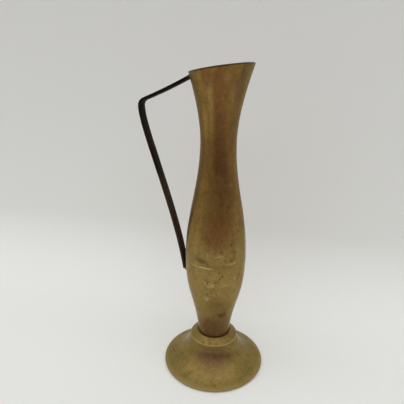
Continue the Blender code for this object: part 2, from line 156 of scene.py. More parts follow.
class Nodes:
    """Short calls for building the node tree of a material or a world."""

    def __init__(self, owner, shader="Principled BSDF"):
        owner.use_nodes = True
        self.owner = owner
        self.tree = owner.node_tree
        self.shader = self.tree.nodes[shader]

    def set(self, **values):
        """Values of the shader's sockets. An underscore in a name stands for a space."""
        for key, value in values.items():
            self.feed(self.shader.inputs[key.replace("_", " ")], value)

    def add(self, kind, **values):
        node = self.tree.nodes.new(kind)
        for key, value in values.items():
            setattr(node, key, value)
        return node

    def join(self, source, target):
        self.tree.links.new(source, target)

    def feed(self, socket, value):
        """Link or set a socket. A tint is three numbers, and its alpha is added here."""
        if isinstance(value, bpy.types.NodeSocket):
            self.join(value, socket)
        elif isinstance(value, tuple) and socket.type == "RGBA":
            socket.default_value = (*value, 1.0)
        else:
            socket.default_value = value

    def place(self):
        """Position in the object's frame, measured from the turning axis."""
        coordinates = self.add("ShaderNodeTexCoord")
        moved = self.add("ShaderNodeVectorMath", operation="SUBTRACT")
        self.join(coordinates.outputs["Object"], moved.inputs[0])
        moved.inputs[1].default_value = (AXIS_X, 0.0, 0.0)
        return moved.outputs["Vector"]

    def scaled(self, vector, factors):
        node = self.add("ShaderNodeVectorMath", operation="MULTIPLY")
        self.join(vector, node.inputs[0])
        node.inputs[1].default_value = factors
        return node.outputs["Vector"]

    def noise(self, vector, scale, detail=3.0, roughness=0.55, distortion=0.0):
        node = self.add("ShaderNodeTexNoise")
        self.join(vector, node.inputs["Vector"])
        node.inputs["Scale"].default_value = scale
        node.inputs["Detail"].default_value = detail
        node.inputs["Roughness"].default_value = roughness
        node.inputs["Distortion"].default_value = distortion
        return node.outputs["Fac"]

    def math(self, operation, first, second=0.0, clamp=False):
        node = self.add("ShaderNodeMath", operation=operation, use_clamp=clamp)
        self.feed(node.inputs[0], first)
        self.feed(node.inputs[1], second)
        return node.outputs["Value"]

    def ramp(self, value, low, high, to_low=0.0, to_high=1.0):
        """Smooth step from one value at low to another at high."""
        node = self.add("ShaderNodeMapRange", interpolation_type="SMOOTHSTEP")
        self.feed(node.inputs["Value"], value)
        node.inputs["From Min"].default_value = low
        node.inputs["From Max"].default_value = high
        node.inputs["To Min"].default_value = to_low
        node.inputs["To Max"].default_value = to_high
        return node.outputs["Result"]

    def mix(self, factor, first, second):
        """Colour mix. The node's sockets 6 and 7 are its two colours, and output 2 is the result."""
        node = self.add("ShaderNodeMix", data_type="RGBA")
        self.feed(node.inputs["Factor"], factor)
        self.feed(node.inputs[6], first)
        self.feed(node.inputs[7], second)
        return node.outputs[2]

    def bump(self, height, distance, strength, below=None):
        node = self.add("ShaderNodeBump")
        self.join(height, node.inputs["Height"])
        node.inputs["Distance"].default_value = distance
        node.inputs["Strength"].default_value = strength
        if below is not None:
            self.join(below, node.inputs["Normal"])
        return node.outputs["Normal"]

    def along(self, vector, direction):
        """How far a place lies along a direction."""
        node = self.add("ShaderNodeVectorMath", operation="DOT_PRODUCT")
        self.join(vector, node.inputs[0])
        node.inputs[1].default_value = direction
        return node.outputs["Value"]

    def length(self, vector):
        node = self.add("ShaderNodeVectorMath", operation="LENGTH")
        self.join(vector, node.inputs[0])
        return node.outputs["Value"]

    def reach(self, vector, point, bearing, tilt, half_sizes):
        """Distance from a mark's middle, counted in its half sizes along its length and across it."""
        node = self.add("ShaderNodeMapping", vector_type="TEXTURE")
        self.join(vector, node.inputs["Vector"])
        node.inputs["Location"].default_value = point
        node.inputs["Rotation"].default_value = (math.radians(tilt), 0.0, math.radians(bearing))
        node.inputs["Scale"].default_value = (max(half_sizes), *half_sizes)
        return self.length(node.outputs["Vector"])

    def ring(self, vector, radius, height):
        """Distance from a circle round the turning axis."""
        away = self.math("SUBTRACT", self.length(self.scaled(vector, (1.0, 1.0, 0.0))), radius)
        above = self.math("SUBTRACT", self.along(vector, UP), height)
        return self.math("ADD", self.math("ABSOLUTE", away), self.math("ABSOLUTE", above))


# ---------------------------------------------------------------- camera, stage and light

def link(made):
    bpy.context.scene.collection.objects.link(made)
    return made


def camera():
    data = bpy.data.cameras.new("camera")
    data.lens = CAMERA_LENS
    data.sensor_width = 36.0
    data.clip_start = 0.01
    made = link(bpy.data.objects.new("camera", data))
    place = Vector((AXIS_X + CAMERA_DISTANCE * math.sin(CAMERA_BEARING),
                    -CAMERA_DISTANCE * math.cos(CAMERA_BEARING), CAMERA_HEIGHT))
    level = Matrix.Rotation(math.pi / 2, 4, "X")
    turn = Matrix.Rotation(CAMERA_BEARING - CAMERA_YAW, 4, "Z")
    tip = Matrix.Rotation(-CAMERA_PITCH, 4, "X")
    roll = Matrix.Rotation(CAMERA_ROLL, 4, "Z")
    made.matrix_world = Matrix.Translation(place) @ turn @ level @ tip @ roll
    bpy.context.scene.camera = made


def paper(name):
    """Matt paper, seen from its front only, so that it never hides the object from behind or below.
    It has a round hole under the hollow foot, hidden by the foot's rim, which lets a little light in."""
    n = Nodes(bpy.data.materials.new(name))
    n.set(Base_Color=PAPER, Roughness=1.0, Specular_IOR_Level=0.2)
    hole = n.math("LESS_THAN", n.length(n.place()), FOOT_RADIUS - HOLE_INSET)
    unseen = n.math("MAXIMUM", n.add("ShaderNodeNewGeometry").outputs["Backfacing"], hole)
    mixed = n.add("ShaderNodeMixShader")
    n.join(unseen, mixed.inputs["Fac"])
    n.join(n.shader.outputs["BSDF"], mixed.inputs[1])
    n.join(n.add("ShaderNodeBsdfTransparent").outputs["BSDF"], mixed.inputs[2])
    n.join(mixed.outputs["Shader"], n.tree.nodes["Material Output"].inputs["Surface"])
    return n.owner


def sweep():
    """Pale paper: a floor that ends in front of the object and curves up into a wall behind it."""
    front, behind, half_width, top, bend = -0.50, 0.06, 1.6, 1.6, 0.075
    profile = [(front, 0.0), (behind, 0.0)]
    steps = 24
    for index in range(1, steps + 1):
        angle = math.pi / 2 * index / steps
        profile.append((behind + bend * math.sin(angle), bend * (1 - math.cos(angle))))
    profile.append((behind + bend, top))
    mesh = bmesh.new()
    left = [mesh.verts.new((-half_width, y, z)) for y, z in profile]
    right = [mesh.verts.new((half_width, y, z)) for y, z in profile]
    for index in range(len(profile) - 1):
        mesh.faces.new([left[index], right[index], right[index + 1], left[index + 1]])
    data = bpy.data.meshes.new("paper_sweep")
    mesh.to_mesh(data)
    mesh.free()
    data.shade_smooth()
    made = link(bpy.data.objects.new("paper_sweep", data))
    data.materials.append(paper("pale_paper"))


def area_light(name, place, target, size, power):
    data = bpy.data.lights.new(name, "AREA")
    data.shape = "RECTANGLE"
    data.size, data.size_y = size
    data.energy = power
    made = link(bpy.data.objects.new(name, data))
    made.location = place
    made.rotation_euler = (Vector(target) - Vector(place)).to_track_quat("-Z", "Y").to_euler()
    made.visible_camera = False
    made.visible_glossy = False


def lights():
    """Both light the paper, and stay out of the reflections in the metal."""
    area_light("soft_top", (-0.20, 0.05, 1.3), (0.0, 0.0, 0.1), (1.5, 1.5), TOP_POWER)
    area_light("wall_wash", (0.15, -0.60, 1.0), (0.0, 0.2, 0.4), (0.8, 0.8), WASH_POWER)


def room():
    """Soft light from above, a dim horizon, and a darker warm side behind the camera."""
    world = bpy.data.worlds.new("room")
    bpy.context.scene.world = world
    n = Nodes(world, "Background")
    direction = n.add("ShaderNodeTexCoord").outputs["Generated"]
    height = n.along(direction, UP)
    facing = n.along(direction, (math.sin(DARK_SIDE), -math.cos(DARK_SIDE), 0.0))
    dark = n.math("MULTIPLY", n.ramp(facing, 0.25, 0.92), n.ramp(height, 0.50, 0.18))
    sky = n.mix(n.ramp(height, 0.05, 0.75), HORIZON, ZENITH)
    n.set(Color=n.mix(dark, sky, DARK_ROOM), Strength=1.0)
    bpy.context.scene.view_settings.view_transform = "Standard"


# ---------------------------------------------------------------- outline helpers

def bezier(start, start_handle, end_handle, end, steps):
    """Points of a cubic curve, both ends included."""
    points = []
    for index in range(steps + 1):
        t = index / steps
        weights = ((1 - t) ** 3, 3 * t * (1 - t) ** 2, 3 * t * t * (1 - t), t ** 3)
        corners = (start, start_handle, end_handle, end)
        radius = sum(weight * corner[0] for weight, corner in zip(weights, corners))
        height = sum(weight * corner[1] for weight, corner in zip(weights, corners))
        points.append((radius, height))
    return points


def arc(centre, radius, start_angle, end_angle, steps):
    """Points on a circular arc in the (radius, height) plane, both ends included."""
    points = []
    for index in range(steps + 1):
        angle = start_angle + (end_angle - start_angle) * index / steps
        points.append((centre[0] + radius * math.cos(angle), centre[1] + radius * math.sin(angle)))
    return points


def normals(points):
    """Unit normals to the right of a path that is walked from first point to last."""
    result = []
    for index in range(len(points)):
        before = points[max(index - 1, 0)]
        after = points[min(index + 1, len(points) - 1)]
        along = Vector((after[0] - before[0], after[1] - before[1])).normalized()
        result.append((along.y, -along.x))
    return result


def offset(points, distance):
    """The path moved to its right by a distance."""
    moved = []
    for point, normal in zip(points, normals(points)):
        moved.append((point[0] + distance * normal[0], point[1] + distance * normal[1]))
    return moved


def radius_at(points, height):
    """Radius of an upward path at a height."""
    for low, high in zip(points, points[1:]):
        if low[1] <= height <= high[1]:
            share = (height - low[1]) / (high[1] - low[1])
            return low[0] + share * (high[0] - low[0])
    return points[0][0] if height < points[0][1] else points[-1][0]


def rising_curve(start, start_lean, start_fullness, end, end_lean, end_fullness):
    """A curve up from one station to another. A lean is radius gained per metre of height."""
    rise = end[1] - start[1]
    leave = start_fullness * rise
    arrive = end_fullness * rise
    start_handle = (start[0] + start_lean * leave, start[1] + leave)
    end_handle = (end[0] - end_lean * arrive, end[1] - arrive)
    return bezier(start, start_handle, end_handle, end, ALONG)


BOWL_CURVE = rising_curve((BASE_RADIUS, CROWN_HEIGHT), BASE_FLARE, BASE_FULLNESS,
                          (BELLY_RADIUS, SEAM_HEIGHT), 0.0, BELLY_FULLNESS_BELOW)
SHOULDER_CURVE = rising_curve((BELLY_RADIUS, SEAM_HEIGHT), 0.0, BELLY_FULLNESS_ABOVE,
                              (WAIST_RADIUS, WAIST_HEIGHT), 0.0, WAIST_FULLNESS_BELOW)
MOUTH_CURVE = rising_curve((WAIST_RADIUS, WAIST_HEIGHT), 0.0, WAIST_FULLNESS_ABOVE,
                           (MOUTH_RADIUS, TOP_HEIGHT), MOUTH_FLARE, MOUTH_FULLNESS)
NECK_CURVE = SHOULDER_CURVE[:-1] + MOUTH_CURVE


def rim_height(x):
    """Height of the oblique rim at a distance from the axis towards the high lip."""
    return TOP_HEIGHT - MOUTH_SLOPE * (MOUTH_RADIUS - x)


# ---------------------------------------------------------------- mesh helpers

# Small dents: bearing in degrees, height, half size and depth
DENTS = ((-88, 0.0862, 0.0035, 0.00022), (-92, 0.0712, 0.0032, 0.00020), (-69, 0.1098, 0.0028, 0.00016),
         (-105, 0.1040, 0.0040, 0.00020), (-66, 0.0500, 0.0040, 0.00016), (-75, 0.2150, 0.0045, 0.00014),
         (40, 0.1250, 0.0045, 0.00024), (120, 0.0800, 0.0040, 0.00022), (95, 0.2100, 0.0035, 0.00016))


def wobble(angle, height, seed, size):
    """Unevenness of a hand-raised wall, in metres outwards."""
    broad = Vector((math.cos(angle) * 1.1, math.sin(angle) * 1.1, height * 22 + seed))
    fine = Vector((math.cos(angle) * 2.6, math.sin(angle) * 2.6, height * 75 + seed))
    return size * (noise.noise(broad) + 0.35 * noise.noise(fine))


def dented(angle, height, radius):
    """How far the dents push the body's wall in at a place."""
    depth = 0.0
    for bearing, level, size, deepest in DENTS:
        turn = (angle - math.radians(bearing) + math.pi) % (2 * math.pi) - math.pi
        away = ((turn * radius) ** 2 + (height - level) ** 2) / size ** 2
        depth += deepest * math.exp(-away)
    return depth


def body_wall(curve, angle, height):
    """Radius of the body's finished outside at a place."""
    radius = radius_at(curve, height)
    raised = min(1.0, max(0.0, (height - CROWN_HEIGHT) * WOBBLE_FADE))
    return radius + wobble(angle, height, 3.0, BODY_WOBBLE) * raised - dented(angle, height, radius)


def finish_mesh(name, mesh, looks, node, sharp):
    """Object in place of a CAD piece. Edges sharper than so many degrees stay crisp."""
    data = bpy.data.meshes.new(name)
    mesh.to_mesh(data)
    mesh.free()
    data.shade_smooth()
    data.set_sharp_from_angle(angle=math.radians(sharp))
    data.materials.append(looks)
    made = link(bpy.data.objects.new(name, data))
    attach(made, "root")
    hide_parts(node)


def lathe(rows, around=AROUND):
    """A body from rows of points round the axis. A row is one (radius, height) pair, or a function
    that gives it for an angle. Rows run down the outer side and up the inner side."""
    mesh = bmesh.new()
    rings = []
    for row in rows:
        if not callable(row) and row[0] < 1e-7:
            rings.append([mesh.verts.new((AXIS_X, 0.0, row[1]))])
            continue
        ring = []
        for index in range(around):
            angle = 2 * math.pi * index / around
            radius, height = row(angle) if callable(row) else row
            place = (AXIS_X + radius * math.cos(angle), radius * math.sin(angle), height)
            ring.append(mesh.verts.new(place))
        rings.append(ring)
    for upper, lower in zip(rings, rings[1:] + rings[:1]):
        join_rings(mesh, upper, lower)
    return mesh


def join_rings(mesh, upper, lower):
    """Faces between two rings, either of which may be a single point on the axis."""
    count = max(len(upper), len(lower))
    if count == 1:
        return
    for index in range(count):
        following = (index + 1) % count
        corners = []
        corners += [upper[following], upper[index]] if len(upper) > 1 else [upper[0]]
        corners += [lower[index], lower[following]] if len(lower) > 1 else [lower[0]]
        mesh.faces.new(corners)


# ---------------------------------------------------------------- materials

# Brass tones: an olive and a golden one for each part
BOWL_TONES = ((0.272, 0.193, 0.058), (0.332, 0.227, 0.068))
NECK_TONES = ((0.215, 0.130, 0.034), (0.305, 0.184, 0.045))
FOOT_TONES = ((0.256, 0.185, 0.054), (0.282, 0.201, 0.058))
FASTENER_TONES = ((0.230, 0.160, 0.055), (0.280, 0.200, 0.070))
BRAZE_TONES = ((0.150, 0.095, 0.040), (0.060, 0.038, 0.022))

# Tints of stains and scuffs, from bright to dark, and of painted highlights, reflections and shade
# Filed braze and a painted highlight on the seam
SEAM_FILED_AND_HIGHLIGHT = (0.52, 0.41, 0.17)
# Wear, and a painted highlight on the foot's lip and the collar's edge
RUBBED_AND_HIGHLIGHT = (0.46, 0.35, 0.13)
GOLDEN = (0.40, 0.270, 0.075)
GOLDEN_OLD = (0.40, 0.265, 0.072)
GOLDEN_DIM = (0.38, 0.250, 0.068)
COPPER = (0.285, 0.125, 0.042)
REDDISH = (0.230, 0.105, 0.036)
WARM_BROWN = (0.220, 0.130, 0.055)
RED_BROWN = (0.215, 0.112, 0.040)
# Painted reflection: the dark streak down the neck's middle
NECK_REFLECTION_DARK = (0.205, 0.088, 0.028)
# Painted reflection on the foot's upper flare
FOOT_REFLECTION_BROWN = (0.190, 0.106, 0.046)
BASE_BROWN = (0.185, 0.098, 0.042)
DARK_RED = (0.150, 0.070, 0.025)
# Painted reflection on the foot's upper flare
FOOT_REFLECTION_DARK = (0.140, 0.080, 0.038)
UMBER = (0.115, 0.072, 0.030)
# Dirt and painted shade in the groove
GROOVE_BROWN = (0.115, 0.062, 0.028)
# Painted shade along the rim
PAINTED_RIM_SHADE = (0.045, 0.030, 0.016)

# Colours that show at a grazing angle: the edge tint of the metal's own gloss, and the tint of a painted
# sheen
EDGE_TINT = (0.84, 0.81, 0.76)
PAINTED_SHEEN_TINT = (0.60, 0.53, 0.42)

# The handle's iron
STRIP_BLACK = (0.0075, 0.0042, 0.0022)
STRIP_OXIDE = (0.020, 0.0110, 0.0058)
STRIP_GRAIN = (0.036, 0.021, 0.011)
STRIP_WORN = (0.046, 0.029, 0.016)
STRIP_SHEEN = (1.0, 0.74, 0.55)


def mark(bearing, radius, height, half_length, half_height, strength, tint, tilt=0.0):
    """A mark of colour: a stain, a scuff, a painted highlight, a painted reflection. Its length runs round
    the turning axis, tipped by its tilt in degrees.
    """
    angle = math.radians(bearing)
    point = (radius * math.cos(angle), radius * math.sin(angle), height)
    return point, bearing, tilt, (half_length, half_height), strength, tint


def body_mark(bearing, height, *rest):
    """A mark on the wall of the bowl or neck."""
    curve = BOWL_CURVE if height < SEAM_HEIGHT else NECK_CURVE
    return mark(bearing, radius_at(curve, height), height, *rest)


# Each body mark has its bearing in degrees, height, half length, half height, strength, tint and tilt
BODY_MARKS = (
    # Painted reflection: a thin dark streak down the neck's middle
    body_mark(-84, 0.205, 0.0028, 0.038, 0.70, NECK_REFLECTION_DARK),
    body_mark(-66, 0.178, 0.0028, 0.022, 0.55, UMBER),
    body_mark(-104, 0.2425, 0.0035, 0.0022, 0.75, REDDISH, 15),
    body_mark(-77, 0.2435, 0.0030, 0.0030, 0.80, REDDISH),
    body_mark(-103, 0.2350, 0.0028, 0.0026, 0.65, RED_BROWN, -20),
    body_mark(-88, 0.2355, 0.0016, 0.0060, 0.75, REDDISH),
    body_mark(-71, 0.2325, 0.0024, 0.0030, 0.70, REDDISH),
    body_mark(-76, 0.2210, 0.0020, 0.0060, 0.65, REDDISH),
    body_mark(-38, 0.2440, 0.0016, 0.0040, 0.65, UMBER),
    body_mark(-46, 0.2330, 0.0014, 0.0090, 0.55, UMBER, 12),
    body_mark(-119, 0.2400, 0.0026, 0.0020, 0.55, GOLDEN),
    body_mark(-66, 0.2395, 0.0028, 0.0034, 0.60, GOLDEN),
    body_mark(-99, 0.2290, 0.0026, 0.0060, 0.50, GOLDEN_OLD),
    body_mark(-50, 0.2300, 0.0020, 0.0060, 0.50, GOLDEN_OLD),
    body_mark(-120, 0.2050, 0.0022, 0.0120, 0.45, GOLDEN_DIM),
    body_mark(-52, 0.2060, 0.0018, 0.0080, 0.45, REDDISH),
    body_mark(-108, 0.1960, 0.0040, 0.0030, 0.50, REDDISH),
    body_mark(30, 0.1900, 0.0080, 0.0400, 0.50, REDDISH),
    body_mark(75, 0.1350, 0.0100, 0.0200, 0.55, RED_BROWN),
    body_mark(110, 0.2200, 0.0070, 0.0200, 0.55, REDDISH),
    body_mark(150, 0.0600, 0.0090, 0.0140, 0.50, RED_BROWN),
    body_mark(205, 0.1600, 0.0080, 0.0300, 0.45, RED_BROWN),
    body_mark(60, 0.0800, 0.0040, 0.0008, 0.60, RUBBED_AND_HIGHLIGHT, 20),
    body_mark(130, 0.1100, 0.0030, 0.0010, 0.60, RUBBED_AND_HIGHLIGHT, -30),
    body_mark(-33, 0.2220, 0.0045, 0.0400, 0.55, UMBER),
    body_mark(-98, 0.2130, 0.0022, 0.0200, 0.60, GOLDEN),
    body_mark(-80, 0.2060, 0.0020, 0.0200, 0.50, DARK_RED),
    body_mark(-64, 0.165, 0.011, 0.055, 0.60, REDDISH),
    body_mark(-80, 0.128, 0.010, 0.014, 0.80, COPPER),
    body_mark(-78, 0.215, 0.006, 0.030, 0.70, REDDISH),
    body_mark(-106, 0.241, 0.006, 0.004, 0.70, REDDISH),
    body_mark(-88, 0.238, 0.003, 0.004, 0.50, REDDISH),
    body_mark(-60, 0.238, 0.008, 0.006, 0.55, RED_BROWN),
    body_mark(-50, 0.227, 0.004, 0.018, 0.55, RED_BROWN),
    body_mark(-132, 0.150, 0.005, 0.060, 0.40, RED_BROWN),
    body_mark(-78, 0.040, 0.015, 0.012, 0.85, BASE_BROWN),
    body_mark(-57, 0.054, 0.0045, 0.0035, 0.80, UMBER),
    body_mark(-62, 0.062, 0.010, 0.007, 0.45, RED_BROWN),
    body_mark(-107, 0.1055, 0.0055, 0.0020, 0.85, UMBER, -10),
    body_mark(-114, 0.1072, 0.0030, 0.0030, 0.50, RED_BROWN),
    body_mark(-50, 0.1185, 0.0009, 0.0013, 0.95, UMBER),
    body_mark(-69, 0.1138, 0.0016, 0.0009, 0.70, UMBER),
    body_mark(-51, 0.1056, 0.0009, 0.0010, 0.75, UMBER),
    body_mark(-71, 0.0912, 0.0010, 0.0010, 0.85, UMBER),
    body_mark(-66, 0.0935, 0.0010, 0.0016, 0.75, UMBER, 20),
    body_mark(-72, 0.0965, 0.0010, 0.0009, 0.70, UMBER),
    body_mark(-94, 0.0765, 0.0012, 0.0011, 0.85, UMBER),
    body_mark(-42, 0.0880, 0.0010, 0.0018, 0.50, UMBER),
    body_mark(-75, 0.0700, 0.0070, 0.0060, 0.35, RED_BROWN),
    body_mark(-75, 0.1000, 0.0120, 0.0035, 0.40, RED_BROWN),
    body_mark(-91, 0.0838, 0.0030, 0.0007, 0.80, RUBBED_AND_HIGHLIGHT, -28),
    body_mark(-84, 0.0850, 0.0024, 0.0008, 0.85, RUBBED_AND_HIGHLIGHT, 38),
    body_mark(-88, 0.0855, 0.0034, 0.0026, 0.45, RUBBED_AND_HIGHLIGHT),
    body_mark(-98, 0.0870, 0.0018, 0.0006, 0.60, RUBBED_AND_HIGHLIGHT, -50),
    body_mark(-41, 0.0896, 0.0008, 0.0028, 0.55, RUBBED_AND_HIGHLIGHT),
    body_mark(-58, 0.0850, 0.0024, 0.0005, 0.55, RUBBED_AND_HIGHLIGHT, 12),
    body_mark(-96, 0.0712, 0.0024, 0.0020, 0.60, RUBBED_AND_HIGHLIGHT),
    body_mark(-94, 0.1105, 0.0006, 0.0024, 0.50, RUBBED_AND_HIGHLIGHT),
    body_mark(-76, 0.1100, 0.0026, 0.0007, 0.65, RUBBED_AND_HIGHLIGHT, 24),
    body_mark(-66, 0.1104, 0.0020, 0.0007, 0.70, RUBBED_AND_HIGHLIGHT, -16),
    body_mark(-70, 0.1092, 0.0034, 0.0016, 0.40, RUBBED_AND_HIGHLIGHT),
    body_mark(-47, 0.1035, 0.0060, 0.0010, 0.45, RUBBED_AND_HIGHLIGHT, 6),
)
SEAM_MARKS = (
    # Filed braze with a painted highlight
    body_mark(-97, SEAM_HEIGHT, 0.0065, 0.0020, 0.75, SEAM_FILED_AND_HIGHLIGHT),
    body_mark(-116, SEAM_HEIGHT, 0.0040, 0.0020, 0.30, SEAM_FILED_AND_HIGHLIGHT),
    body_mark(-60, SEAM_HEIGHT, 0.0150, 0.0030, 0.45, RED_BROWN),
)

# Each foot mark also has its distance from the axis, after its bearing
FOOT_MARKS = (
    mark(100, 0.0240, 0.0160, 0.0140, 0.0060, 0.55, RED_BROWN),
    mark(25, 0.0340, 0.0060, 0.0060, 0.0040, 0.40, RED_BROWN),
    # Painted reflection: the dark red-brown crescent on the upper flare in front, these two marks
    mark(-80, 0.0238, 0.0162, 0.0165, 0.0112, 0.85, FOOT_REFLECTION_BROWN),
    mark(-82, 0.0226, 0.0170, 0.0080, 0.0055, 0.35, FOOT_REFLECTION_DARK),
    mark(-40, 0.0235, 0.0155, 0.0060, 0.0040, 0.45, WARM_BROWN),
    mark(-116, 0.0375, 0.0044, 0.0030, 0.0020, 0.30, UMBER),
    mark(-150, 0.0300, 0.0080, 0.0040, 0.0030, 0.20, UMBER),
)


def rim_painted_shade(n, place):
    """Painted shade: a dark line along the oblique rim."""
    level = n.along(place, (-MOUTH_SLOPE, 0.0, 1.0))
    rim = TOP_HEIGHT - MOUTH_SLOPE * MOUTH_RADIUS
    return n.ramp(level, rim - 0.0011, rim - 0.0003, 0.0, 0.70)


def neck_share(n, place):
    """How much a place belongs to the redder neck, from nothing on the belly to all above it."""
    return n.ramp(n.along(place, UP), SEAM_HEIGHT + 0.008, SEAM_HEIGHT + 0.035)


def lip_wear_and_highlight(n, place):
    """Rubbed line where the foot's flare turns over its edge, partly wear and partly a painted highlight."""
    away = n.ring(place, FOOT_RADIUS - 0.0008, LIP_HEIGHT)
    return n.ramp(away, 0.0055, 0.0004, 0.0, 0.36)


def collar_edge_wear_and_highlight(n, place):
    """Rubbed line on the collar's outer edge, partly wear and partly a painted highlight."""
    away = n.ring(place, COLLAR_RADIUS, COLLAR_HIGH.z - CROWN_RISE)
    return n.ramp(away, 0.0010, 0.0003, 0.0, 0.65)


def groove_dirt_and_shade(n, place):
    """Brown dirt and painted shade in the groove between the collar and the bowl."""
    away = n.ring(place, BASE_RADIUS + 0.0005, CROWN_HEIGHT - 0.0004)
    return n.ramp(away, 0.0010, 0.0003, 0.0, 0.75)


def painted_grazing_sheen(strength):
    """A line function that paints a pale sheen into the colour where the surface is seen at a grazing angle,
    on all but the neck: a painted reflection of the pale room.
    """
    def factor(n, place):
        facing = n.add("ShaderNodeLayerWeight").outputs["Facing"]
        below = n.math("SUBTRACT", 1.0, neck_share(n, place))
        return n.math("MULTIPLY", n.ramp(facing, 0.64, 0.97, 0.0, strength), below)
    return factor


def stained(n, place, color, marks, ragged, outer):
    """The colour with marks laid over it. The ragged value breaks up their outlines, and outer is where
    a mark ends, counted in its half sizes."""
    for point, bearing, tilt, half_sizes, strength, tint in marks:
        away = n.math("ADD", n.reach(place, point, bearing, tilt, half_sizes), ragged)
        color = n.mix(n.ramp(away, outer, 0.40, 0.0, strength), color, tint)
    return color


def aged_brass(name, tones, marks=(), lines=(), upper_tones=None):
    """Worn brass: olive and golden patches, reddish-brown clouds, fine mottling, stains and scuffs, and a few
    painted reflections and highlights among the marks.
    A line is a function that gives its strength, and a tint; besides wear and dirt, the lines paint shade,
    highlights and sheen. The upper tones are the neck's."""
    n = Nodes(bpy.data.materials.new(name))
    place = n.place()
    broad = n.noise(place, 40, 3.0, 0.55, 0.8)
    medium = n.noise(place, 150, 4.0, 0.62, 0.6)
    fine = n.noise(place, 430, 3.0, 0.6)
    streak = n.noise(n.scaled(place, (1.0, 1.0, 0.30)), 260, 3.0, 0.6)
    scratch = n.noise(n.scaled(place, (1.0, 1.0, 4.5)), 190, 2.0, 0.55, 1.5)

    patches = n.math("ADD", n.math("MULTIPLY", broad, 0.45), n.math("MULTIPLY", medium, 0.55))
    patches = n.ramp(patches, 0.42, 0.58)
    color = n.mix(patches, *tones)
    if upper_tones:
        color = n.mix(neck_share(n, place), color, n.mix(patches, *upper_tones))
    red = n.math("MULTIPLY", n.ramp(medium, 0.46, 0.64), n.ramp(streak, 0.40, 0.60), clamp=True)
    color = n.mix(n.math("MULTIPLY", red, 0.85), color, RED_BROWN)
    ragged = n.math("ADD", n.math("MULTIPLY", medium, 1.2), n.math("MULTIPLY", fine, 0.8))
    color = stained(n, place, color, marks, n.math("SUBTRACT", ragged, 1.0), 1.35)
    speckling = ((fine, 0.53, 0.72, 0.50, UMBER), (streak, 0.56, 0.74, 0.38, UMBER),
                 (scratch, 0.60, 0.72, 0.30, RUBBED_AND_HIGHLIGHT), (fine, 0.42, 0.26, 0.25, RUBBED_AND_HIGHLIGHT))
    for pattern, low, high, strength, tint in speckling:
        color = n.mix(n.ramp(pattern, low, high, 0.0, strength), color, tint)
    for strength, tint in lines:
        color = n.mix(strength(n, place), color, tint)

    rough = n.math("ADD", n.ramp(medium, 0.3, 0.7, 0.31, 0.42), n.math("MULTIPLY", fine, 0.10))
    normal = n.bump(n.noise(place, 160, 3.0, 0.6), 0.00022, 0.30)
    normal = n.bump(fine, 0.00005, 0.40, normal)
    normal = n.bump(scratch, 0.00005, 0.30, normal)
    n.set(Base_Color=color, Metallic=0.90, Specular_Tint=EDGE_TINT, Roughness=rough, Normal=normal)
    return n.owner


def seam_braze(name):
    """Filed braze, bright where it was rubbed and partly a painted highlight there, and soft elsewhere."""
    n = Nodes(bpy.data.materials.new(name))
    place = n.place()
    cloud = n.noise(place, 160, 3.0, 0.6)
    fine = n.noise(place, 600, 2.0, 0.6)
    color = n.mix(n.ramp(cloud, 0.42, 0.62), *BOWL_TONES)
    color = stained(n, place, color, SEAM_MARKS, n.math("SUBTRACT", cloud, 0.5), 1.3)
    color = n.mix(n.ramp(fine, 0.52, 0.72, 0.0, 0.4), color, UMBER)
    n.set(Base_Color=color, Metallic=0.90, Roughness=n.ramp(cloud, 0.3, 0.7, 0.32, 0.44),
          Normal=n.bump(fine, 0.00005, 0.5))
    return n.owner


def dull_braze(name):
    """Braze as it set, lumpy and dark."""
    n = Nodes(bpy.data.materials.new(name))
    place = n.place()
    cloud = n.noise(place, 500, 3.0, 0.6)
    color = n.mix(n.ramp(cloud, 0.35, 0.65), *BRAZE_TONES)
    n.set(Base_Color=color, Metallic=0.80, Roughness=n.ramp(cloud, 0.3, 0.7, 0.40, 0.62),
          Normal=n.bump(n.noise(place, 900, 2.0), 0.0001, 0.5))
    return n.owner


def black_strip(name):
    """Blackened iron strip with a brown oxide, worn browner on the lower part of its leg."""
    n = Nodes(bpy.data.materials.new(name))
    place = n.place()
    cloud = n.noise(place, 110, 3.0, 0.6)
    grain = n.noise(n.scaled(place, (1.0, 1.0, 0.12)), 900, 2.0, 0.5)
    color = n.mix(n.ramp(cloud, 0.40, 0.66), STRIP_BLACK, STRIP_OXIDE)
    color = n.mix(n.ramp(grain, 0.54, 0.78, 0.0, 0.5), color, STRIP_GRAIN)
    color = n.mix(n.ramp(n.along(place, UP), 0.178, 0.145, 0.0, 0.85), color, STRIP_WORN)
    normal = n.bump(n.noise(place, 260, 2.0), 0.0002, 0.35, n.bump(grain, 0.00004, 0.5))
    n.set(Base_Color=color, Specular_IOR_Level=0.06, Specular_Tint=STRIP_SHEEN,
          Roughness=n.ramp(cloud, 0.3, 0.7, 0.58, 0.74), Normal=normal)
    return n.owner


# ---------------------------------------------------------------- pieces

def rim_at(angle):
    """Height of the finished rim at an angle: the oblique plane, trimmed by hand."""
    low_trim, far_trim, near_trim, ripple_size = 0.0004, 0.0007, 0.0002, 0.00010
    lowered = 0.00003  # keeps the highest point of the lip inside the CAD's box
    height = TOP_HEIGHT
    for _ in range(12):
        height = rim_height(radius_at(NECK_CURVE, height) * math.cos(angle))
    low_side = (1 - math.cos(angle)) / 2
    far_side = math.sin(angle)
    trim = low_trim * low_side - (far_trim if far_side > 0 else near_trim) * far_side
    ripple = noise.noise(Vector((math.cos(angle) * 3, math.sin(angle) * 3, 1.5)))
    return height + trim + ripple_size * low_side * ripple - lowered


